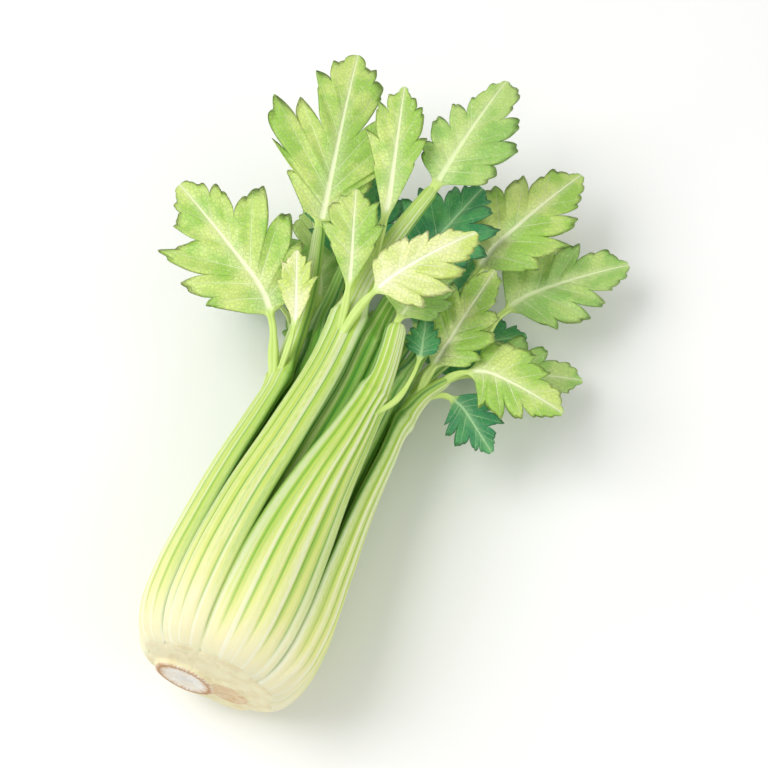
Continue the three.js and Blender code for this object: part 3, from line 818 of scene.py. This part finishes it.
def remeshed(name, extra, voxel):
    """A fine, even surface round a CAD node and an extra body, with its corners softened."""
    node = frame["nodes"][name].data
    points = np.array([v.co for v in node.vertices]) / MM
    faces = [tuple(polygon.vertices) for polygon in node.polygons]
    more, more_faces = extra
    if volume_of(more, more_faces) < 0:
        more_faces = [face[::-1] for face in more_faces]
    faces += [tuple(v + len(points) for v in face) for face in more_faces]
    mesh = bpy.data.meshes.new("scratch")
    mesh.from_pydata((np.concatenate([points, more]) * MM).tolist(), [], faces)
    scratch = bpy.data.objects.new("scratch", mesh)
    bpy.context.scene.collection.objects.link(scratch)
    weld = scratch.modifiers.new("weld", "WELD")
    weld.merge_threshold = 1e-6
    grid = scratch.modifiers.new("grid", "REMESH")
    grid.mode = "VOXEL"
    grid.voxel_size = voxel * MM
    soften = scratch.modifiers.new("soften", "SMOOTH")
    soften.iterations = 4
    made = bpy.data.meshes.new_from_object(scratch.evaluated_get(bpy.context.evaluated_depsgraph_get()))
    points = np.array([v.co for v in made.vertices]) / MM
    faces = [tuple(polygon.vertices) for polygon in made.polygons]
    bpy.data.objects.remove(scratch)
    bpy.data.meshes.remove(mesh)
    bpy.data.meshes.remove(made)
    return points, faces


def collar(axis, across, upright, bottom):
    """A lobed collar under the outer stalks: points and faces, one lobe for each stalk's base."""
    ends = [rings[0, :7] for name, rings in stalk_rings.items() if slots[name] == "outer_stalk"]
    middle, _ = circle_through(np.concatenate(ends), across, upright)
    angles, radii = [], []
    for points in ends:
        x, y = points @ across - middle[0], points @ upright - middle[1]
        angles.extend(np.arctan2(y, x))
        radii.extend(np.hypot(x, y) - np.where(np.arange(7) % 6 == 0, 0.4, 0))
    order = np.argsort(angles)
    turn = np.linspace(0, 2 * np.pi, 180, endpoint=False)
    reach = np.interp(turn, np.array(angles)[order], np.array(radii)[order], period=2 * np.pi)
    profile = [(-14, 0.1), (-6, 0.1), (-2, 0.4), (0.2, 1.2), (1.1, 2.4), (0.8, 4.0), (-3, 6.0), (-14, 6.0)]
    centre = middle[0] * across + middle[1] * upright
    outward = np.cos(turn)[:, None] * across + np.sin(turn)[:, None] * upright
    rows = []
    for out, rise in profile:
        rows.append(centre + (reach + out)[:, None] * outward + axis * (bottom + rise))
    rows = np.array(rows)
    return closed_tube(rows, rows[0].mean(axis=0), rows[-1].mean(axis=0))


def crown_axis():
    """The head's axis at the crown: the crown's flat face looks straight against it."""
    mesh = frame["nodes"]["crown"].data
    total = np.zeros(3)
    for polygon in mesh.polygons:
        normal = np.array(polygon.normal)
        if normal[1] < -0.99:
            total -= normal * polygon.area
    return unit(total)


def make_crown(material):
    """The crown with its collar under the stalks, its cut face and the older scar."""
    axis = crown_axis()
    across = unit(np.cross(axis, [0, 0, 1.0]))
    upright = np.cross(across, axis)
    groups = plane_groups("crown", axis)
    face_depth, face_points = groups[0]
    scar_depth, scar_points = groups[1]
    face_middle, face_radius = circle_through(face_points, across, upright)
    flat = np.stack([scar_points @ across, scar_points @ upright], axis=1)
    free = np.linalg.norm(flat - face_middle, axis=1) > face_radius + 2
    scar_middle, scar_radius = circle_through(scar_points[free], across, upright)

    core_depth = groups[2][0]
    skirt = collar(axis, across, upright, core_depth)
    points, faces = remeshed("crown", skirt, CROWN_VOXEL)
    flat = np.stack([points @ across, points @ upright], axis=1)
    depth = points @ axis
    arm = flat - face_middle
    distance = np.linalg.norm(arm, axis=1) / (face_radius + 1)
    turn = arm / np.maximum(np.linalg.norm(arm, axis=1, keepdims=True), 1e-6)
    near = smooth(-depth, -(scar_depth - 0.2), -(face_depth + 0.4))
    face = near * (distance < 1.15)
    old_distance = np.linalg.norm(flat - scar_middle, axis=1) / scar_radius
    scar = smooth(-depth, -(scar_depth + 0.9), -(scar_depth + 0.2)) * (1 - face) * (old_distance < 1.15)
    dish = face * (0.55 * smooth(distance, 0.55, 0.95) - 0.35)
    points = points - axis * dish[:, None]
    cut = np.stack([turn[:, 0], turn[:, 1], distance], axis=1)
    place = np.stack([scar, face, near], axis=1)
    return make_piece("crown", points, faces, {"cut": cut, "place": place}, material)


# ---------------------------------------------------------------- the head
OUTER_STOPS = [
    (0.0, "f6efc4"), (0.04, "f6f0ba"), (0.11, "eaee94"), (0.25, "d5e56e"),
    (0.42, "c4dd5a"), (0.56, "b8d74e"), (0.75, "b8d857"), (1.0, "b0d454"),
]
# The stalks inside the outer ring are painted a deeper green than the outer ones: painted shade, for where
# they show in the shaded gaps between the outer stalks.
INNER_SHADE_STOPS = [
    (0.0, "f0f0c4"), (0.12, "d2e47e"), (0.3, "9acb42"), (0.45, "74b430"), (0.56, "7eba3a"), (1.0, "94c64c"),
]
HEART_STOPS = [(0.0, "f5f2cc"), (0.3, "e6eda6"), (0.56, "d2e486"), (1.0, "cfe285")]

PAINTS = {
    "outer_stalk": stalk_paint("outer stalk", OUTER_STOPS, "8fc244", "fdfde6", "5c9a2e"),
    "inner_stalk": stalk_paint("inner stalk", INNER_SHADE_STOPS, "4f9a34", "d9ea9c", "3c852b"),
    "heart_stalk": stalk_paint("heart stalk", HEART_STOPS, "a6cc58", "f8fadb", "8dbb48"),
    "bright_leaf": leaf_paint("bright leaf", "cfe27d", "9cc94f", "f0f5cb", "c6dc92"),
    "pale_leaf": leaf_paint("pale leaf", "e9efa6", "c9de6e", "fafbe0", "dbe7aa"),
    "green_leaf": leaf_paint("green leaf", "c3dd7e", "94c45c", "e6f1bc", "b4d488"),
    # painted shade: the deep leaves are a dark copy of the leaf greens, for leaves that lie in shade behind
    # others
    "deep_leaf": leaf_paint("shaded leaf", "58a75c", "2f8752", "a9d39a", "6dae73"),
    "heart_leaf": leaf_paint("heart leaf", "e8eea8", "cfe07c", "f8fadd", "dfe9b0"),
}

slots = {part["node"]: part["material_slot"] for part in frame["record"]["subparts"]}
names = sorted(frame["nodes"])
stalk_rings = {name: read_stalk(name) for name in names if "stalk" in name}
stem_lines = [stem_line(rings) for rings in stalk_rings.values()]
for index, name in enumerate(names):
    draw = np.random.default_rng(1000 + index)
    slot = slots.get(name)
    if name == "crown":
        make_crown(crown_paint())
    elif "stalk" in name:
        kind = slot.split("_")[0]
        make_stalk(name, stalk_rings[name], kind, PAINTS[slot], draw)
    else:
        make_leaf(name, PAINTS[slot], draw, stem_lines)

# ---------------------------------------------------------------- floor, light and camera
low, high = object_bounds()


def make_floor():
    """A plain pale floor just under the lowest point."""
    p = Paint("floor")
    tone = p.mix(p.noise(p.position(), 8, 2), "f7f7f5", "f2f2f0")
    material = p.finish(Base_Color=tone, Roughness=0.9)
    bpy.ops.mesh.primitive_plane_add(size=6, location=(0, 0, min(low.z, 0) - 0.0002))
    floor = bpy.context.object
    floor.name = "floor"
    floor.data.materials.append(material)


def make_light(name, towards, distance, size, energy):
    """A soft square light that looks at the middle of the celery."""
    lamp = bpy.data.lights.new(name, "AREA")
    lamp.shape = "SQUARE"
    lamp.size = size
    lamp.energy = energy
    light = bpy.data.objects.new(name, lamp)
    bpy.context.scene.collection.objects.link(light)
    light.location = (low + high) / 2 + towards.normalized() * distance
    light.rotation_mode = "QUATERNION"
    light.rotation_quaternion = towards.to_track_quat("Z", "Y")


AZIMUTH, ELEVATION = 22, 65
LENS, SENSOR = 100, 36
FILL = 0.856  # the share of the picture's height that the celery takes

turn, tilt = math.radians(AZIMUTH), math.radians(ELEVATION)
back = Vector((math.sin(turn) * math.cos(tilt), -math.cos(turn) * math.cos(tilt), math.sin(tilt)))
right = Vector((math.cos(turn), math.sin(turn), 0))
up = Vector((-math.sin(turn) * math.sin(tilt), math.cos(turn) * math.sin(tilt), math.cos(tilt)))

make_floor()
make_light("key", back * 0.9 - right * 0.75 + up * 0.5, 1.5, 1.1, 17)
make_light("fill", back * 0.7 + right * 1.0 - up * 0.1, 1.7, 1.4, 9)
world = bpy.data.worlds.new("studio")
world.use_nodes = True
world.node_tree.nodes["Background"].inputs[0].default_value = (1, 1, 1, 1)
world.node_tree.nodes["Background"].inputs[1].default_value = 0.56
bpy.context.scene.world = world
bpy.context.scene.view_settings.view_transform = "Standard"


def framed(points, axes):
    """Where the camera stands to see the points in the middle, at the wanted share of the height."""
    seen = points @ axes.T
    aim = (seen.min(axis=0) + seen.max(axis=0)) / 2
    distance = np.ptp(seen[:, 1]) / FILL * LENS / SENSOR
    for _ in range(8):
        depth = distance - (seen[:, 2] - aim[2])
        flat = (seen[:, :2] - aim[:2]) / depth[:, None] * LENS / SENSOR
        least, most = flat.min(axis=0), flat.max(axis=0)
        aim[:2] += (least + most) / 2 * distance * SENSOR / LENS
        distance *= (most[1] - least[1]) / FILL
    return (aim + [0, 0, distance]) @ axes


corners = [np.array([v.co for v in node.data.vertices]) for node in frame["nodes"].values()]
data = bpy.data.cameras.new("camera")
data.lens = LENS
data.sensor_width = SENSOR
camera = bpy.data.objects.new("camera", data)
bpy.context.scene.collection.objects.link(camera)
camera.location = framed(np.concatenate(corners), np.array([right, up, back]))
camera.rotation_mode = "QUATERNION"
camera.rotation_quaternion = back.to_track_quat("Z", "Y")
data.clip_start, data.clip_end = 0.05, 20
bpy.context.scene.camera = camera
